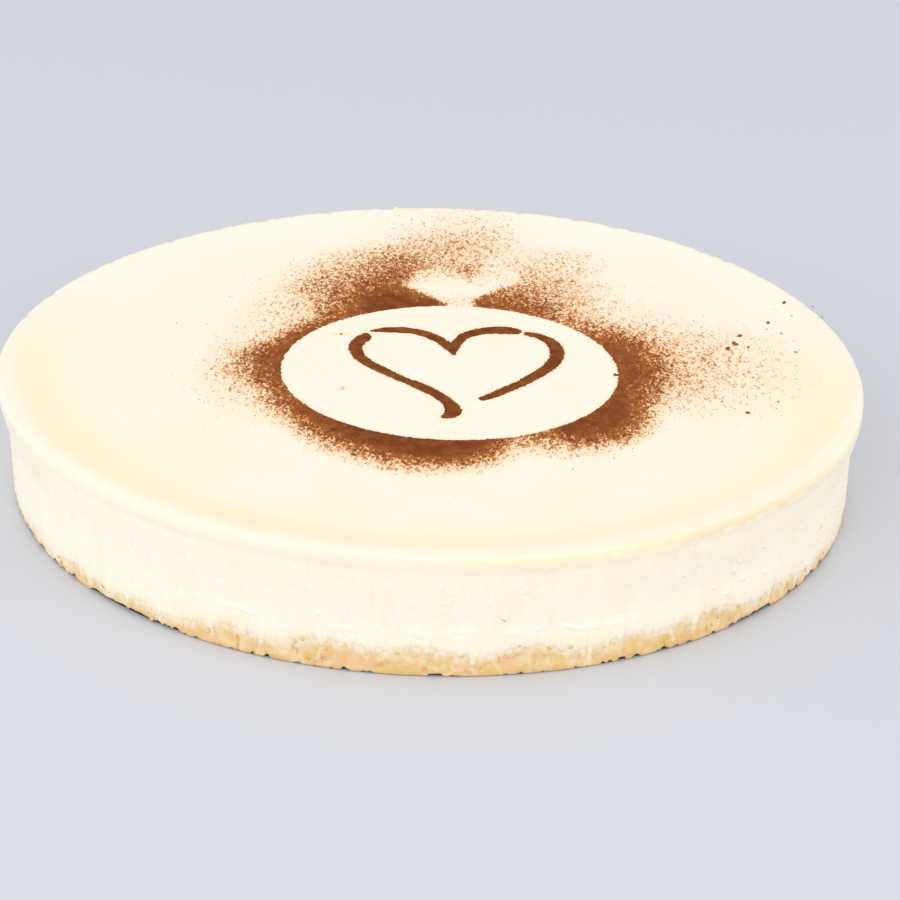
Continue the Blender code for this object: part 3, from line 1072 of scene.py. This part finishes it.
dusting = {
    "cell": 0.31, "thickness": 0.13, "sunk": 0.3, "edgeRamp": 0.60, "edgeJitter": 0.9, "seed": 91,
    "bumps": (0.55, 0.9), "bumpSize": 0.8,  # least, and how much more
    "blotchStir": 4.5, "threshold": 0.95, "reach": (-62.0, 72.0, -66.0, 92.0),
}
heart = {
    "cell": 0.22, "thickness": 0.18, "sunk": 0.3, "edgeRamp": 0.50, "edgeJitter": 0.85, "seed": 101,
    "bumps": (0.7, 0.6), "bumpSize": 0.7, "margin": 4.0,
}


def edgeRamp(sheet, x, y, inside):
    # rises by 1 over a ramp at an edge that wanders in and out
    jitter = sheet["edgeJitter"] * (cloudLayers(x / 1.1, y / 1.1, sheet["seed"], 2) - 0.5)
    return (inside + jitter) / sheet["edgeRamp"]


def grainyRise(sheet, x, y, height):
    # eased up to a grainy, nearly level top; below nought it dips a little into the cake
    least, more = sheet["bumps"]
    grainy = cloudLayers(x / sheet["bumpSize"], y / sheet["bumpSize"], sheet["seed"] + 4, 2)
    rise = np.where(height > 0, ease(height) * (least + more * grainy), np.maximum(height, -0.6))
    return rise * sheet["thickness"]


def dustingRise(x, y):
    # positive where the odds, stirred by blotches, pass the threshold, with a ramp at the stencil's edge
    blotches = (cloudLayers(x, 0.6 * y, 81, 2) - 0.5) * dusting["blotchStir"]
    patchy = (cocoaOdds(x, y) * cocoa["oddsWeight"] + blotches - dusting["threshold"]) * 0.6
    return grainyRise(dusting, x, y, np.minimum(edgeRamp(dusting, x, y, discEdge(x, y)[0]), patchy))


def heartRise(x, y):
    return grainyRise(heart, x, y, edgeRamp(heart, x, y, strokeEdge(x, y)))


def makeCocoaRelief():
    material = cocoaFinish()
    reliefSheet("cocoaDusting", dusting, dusting["reach"], dustingRise, material)
    corners = np.concatenate([np.array(stroke)[:, :2] for stroke in strokes.values()])
    (left, front), (right, back) = corners.min(0) - heart["margin"], corners.max(0) + heart["margin"]
    reliefSheet("cocoaHeart", heart, (left, right, front, back), heartRise, material)


makeCocoaRelief()
print("cocoa relief is made")


# Loose things: small lumps of a few faces, each turned and sized at random

def ballShape(around, rows):
    # a ball of radius 1 in rings between two poles, as stackRings closes it
    tilts = -0.5 * math.pi + math.pi * np.arange(1, rows) / rows
    rings = [ringPoints(math.cos(tilt), anglesRound(around), math.sin(tilt)) for tilt in tilts]
    points, quads, triangles = stackRings(rings, (0, 0, -1), (0, 0, 1))
    return points, np.concatenate([triangles, quads[:, :3], quads[:, [0, 2, 3]]])


def chipShape():
    # a tetrahedron
    points = np.array([[1, 1, 1], [1, -1, -1], [-1, 1, -1], [-1, -1, 1]], float) / math.sqrt(3)
    return points, np.array([[0, 1, 2], [0, 3, 1], [0, 2, 3], [1, 3, 2]])


def randomTurns(count, rng):
    # one even random rotation each, from unit quaternions
    q = rng.normal(size=(count, 4))
    w, x, y, z = (q / np.linalg.norm(q, axis=1, keepdims=True)).T
    rows = [
        [1 - 2 * (y * y + z * z), 2 * (x * y - w * z), 2 * (x * z + w * y)],
        [2 * (x * y + w * z), 1 - 2 * (x * x + z * z), 2 * (y * z - w * x)],
        [2 * (x * z - w * y), 2 * (y * z + w * x), 1 - 2 * (x * x + y * y)],
    ]
    return np.moveaxis(np.array(rows), 2, 0)


def roughCopies(shape, count, rng, roughen):
    # count copies of a shape, each point moved in or out at random, and the corners of all their faces
    ball, faces = shape
    copies = ball[None] * (1 + roughen * rng.uniform(-1, 1, (count, len(ball), 1)))
    return copies, (faces[None] + (np.arange(count) * len(ball))[:, None, None]).reshape(-1, 3)


def scatter(name, shape, spots, sizes, rng, material, lift=0.2, flat=0.7):
    # a lump at each spot of the top: roughened, turned, scaled to its size, then pressed flat along Z
    places = np.column_stack([spots, topSurface(*spots.T) + sizes * lift])
    copies, corners = roughCopies(shape, len(spots), rng, 0.25)
    turned = np.einsum("nij,nkj->nki", randomTurns(len(spots), rng), copies)
    turned = turned * sizes[:, None, None] / 2 * np.array([1, 1, flat])
    points = (turned + places[:, None]).reshape(-1, 3)
    piece = fillMesh(name, points, triangles=corners, smooth=False)
    giveCocoa(piece, points)
    dress(piece, material, "cocoa")


grains = {
    # how many, their sizes as least, most and skew, and how strongly they keep to where the cocoa is thick
    "cocoaSpecks": (13000, (0.16, 0.34, 2), 0.9), "cocoaGrains": (5500, (0.26, 0.54, 2), 1.3),
    "tries": 200000, "reach": 112.0, "clotSize": 2.2, "thickest": 1.1,
    "tones": ((0.270, 0.092, 0.026), (0.640, 0.285, 0.098)),
}


def sowOnTop(count, rng, power):
    # places on the top, picked in proportion to the cocoa's amount to a power, clotted by a cloud
    reach, size, thickest = grains["reach"], grains["clotSize"], grains["thickest"]
    found = np.zeros((0, 2))
    while len(found) < count:
        tries = rng.uniform(-reach, reach, (grains["tries"], 2))
        x, y = tries.T
        clot = cloudLayers(x / size, y / size, 111, 3)
        chance = (np.minimum(cocoaAmount(x, y), thickest) / thickest) ** power
        chance = chance * (0.35 + 1.3 * ease((clot - 0.3) / 0.4))
        keep = (rng.uniform(0, 1.65, len(tries)) < chance) & (np.hypot(x, y) < reach)
        found = np.concatenate([found, tries[keep & (discEdge(x, y)[0] > 0.15)]])
    return found[:count]


def makeGrains():
    material = grainFinish("cocoaGrain", *grains["tones"])
    rng = np.random.default_rng(3)
    for name, shape in (("cocoaSpecks", chipShape()), ("cocoaGrains", ballShape(4, 2))):
        count, sizes, power = grains[name]
        spots = sowOnTop(count, rng, power)
        scatter(name, shape, spots, skewed(rng, count, *sizes), rng, material)


clumps = {
    "balls": 5, "spread": 0.24, "ballSize": (0.4, 0.8),  # as shares of the clump's size
    "tones": ((0.150, 0.045, 0.011), (0.400, 0.140, 0.035)),
    # where they fell from the sieve, and the size of each
    "fallen": (
        (98.4, 46.9, 1.1), (106.2, 44.0, 0.5), (99.7, 38.3, 0.5), (92.9, 34.7, 1.2), (108.0, 36.6, 0.4),
        (92.0, 30.4, 0.4), (95.7, 27.4, 0.7), (83.9, 25.2, 1.3), (82.6, 19.4, 1.6), (85.9, 17.5, 0.8),
        (79.9, 16.3, 1.1), (98.9, 22.0, 0.4), (98.4, 15.0, 0.7), (76.1, 24.9, 0.4), (83.0, 10.7, 0.4),
        (82.0, -24.6, 1.1), (90.7, -17.4, 0.5), (75.9, -18.4, 0.4), (48.6, -3.6, 1.0), (85.4, -2.3, 0.4),
    ),
}


def makeClumps():
    # each clump is a handful of smaller balls stuck together
    rng = np.random.default_rng(5)
    spread = np.repeat(np.array(clumps["fallen"]), clumps["balls"], axis=0)
    offset = rng.normal(0, clumps["spread"], (len(spread), 2)) * spread[:, 2:3]
    spots, size = spread[:, :2] + offset, spread[:, 2] * rng.uniform(*clumps["ballSize"], len(spread))
    material = grainFinish("cocoaLump", *clumps["tones"])
    scatter("cocoaClumps", ballShape(6, 4), spots, size, rng, material, lift=0.25, flat=0.8)


makeGrains()
makeClumps()
print("loose cocoa is made")


# On the side: curds that stand out of the wall, and crumbs along the line

curds = {
    "count": 150, "size": (0.55, 1.50, 2.2), "depth": 0.30, "sunk": 0.55,  # least, most and skew
    # most lie at the right front: share of them, middle and spread in degrees, largest size
    "rightShare": 0.68, "rightPlace": (-27, 17), "rightSize": 2.4,
    # bits left on the rim: degrees round the cake, size, and how far over its outer side
    "onRim": ((96.5, 1.5, 0.0), (143.6, 1.2, 0.0), (145.5, 0.9, 0.0), (31.0, 1.3, 1.1)),
}
crumbs = {"count": 60, "size": (0.6, 1.7, 1.8), "depth": 0.22, "sunk": 0.55, "lowest": 1.2}


def onWall(name, angle, height, radius, size, up, depth, rng):
    # lumps set on the wall: a ball each, scaled across, up and outwards, and turned to face out
    copies, corners = roughCopies(ballShape(10, 7), len(angle), rng, 0.30)
    out = radius[:, None] + copies[..., 0] * depth[:, None]
    turn = angle[:, None] + copies[..., 1] * (size / 2)[:, None] / rim["wallFoot"]
    points = ringPoints(out, turn, height[:, None] + copies[..., 2] * up[:, None]).reshape(-1, 3)
    return fillMesh(name, points, triangles=corners)


def makeCurds():
    rng = np.random.default_rng(8)
    count = curds["count"]
    right = rng.uniform(0, 1, count) < curds["rightShare"]
    angle = np.radians(rng.normal(*curds["rightPlace"], count))
    angle = np.where(right, angle, rng.uniform(0, fullTurn, count))
    height = fillingEdge(angle) + 1.4 + rng.uniform(0, 1, count) ** np.where(right, 1.0, 2.2) * 18
    least, most, skew = curds["size"]
    size = skewed(rng, count, least, np.where(right, curds["rightSize"], most), skew)
    up, depth = size * rng.uniform(0.35, 0.6, count), size * curds["depth"]
    wall = wallRadius(angle, height) + wallRelief(angle, height)
    radius, _ = settle(wall - curds["sunk"] * depth, angle, height)  # only a low cap of each shows
    for index, (place, wide, over) in enumerate(curds["onRim"]):
        angle[index], size[index] = math.radians(place), wide
        level = crestHeight - 0.12 - 0.75 * over
        radius[index], height[index] = settle(rim["crestRadius"] + over, angle[index], level)
        up[index], depth[index] = wide * 0.45, wide * 0.5
    dress(onWall("curdFlecks", angle, height, radius, size, up, depth, rng), paleCurdFinish(), "filling")


def makeCrumbs():
    rng = np.random.default_rng(9)
    count = crumbs["count"]
    angle = rng.uniform(0, fullTurn, count)
    size = skewed(rng, count, *crumbs["size"])
    height = np.maximum(fillingEdge(angle) + 0.3 + rng.normal(0, 0.8, count), crumbs["lowest"])
    up, depth = size * rng.uniform(0.35, 0.55, count), size * crumbs["depth"]
    radius = rim["wallFoot"] - crumbs["sunk"] * depth
    dress(onWall("biscuitCrumbs", angle, height, radius, size, up, depth, rng), crumbFinish(), "biscuit")


def paleCurdFinish():
    finish = Finish("paleCurd", {"Roughness": 0.6, "Specular IOR Level": 0.25})
    tone = finish.noise(finish.place(z=3), 1.2, detail=3).rising(0.35, 0.7)
    yellow = finish.cellShares(finish.place(), 3.0).rising(0.88, 0.94)
    colour = finish.mix(yellow, finish.mix(tone, curd["fleck"], curd["wallPale"]), curd["yellowFleck"])
    return finish.drive(Base_Color=colour)


def crumbFinish():
    finish = Finish("looseCrumb", {"Roughness": 0.85, "Specular IOR Level": 0.2})
    where = finish.place()
    colour = finish.mix(finish.cellShares(where, 3.0).rising(0.2, 0.9), crumb["pale"], crumb["sand"])
    relief = finish.bump(finish.noise(where, 0.3, detail=3, roughness=0.7), 0.08)
    return finish.drive(Base_Color=colour, Normal=relief)


makeCurds()
makeCrumbs()
print("curds and crumbs are made")
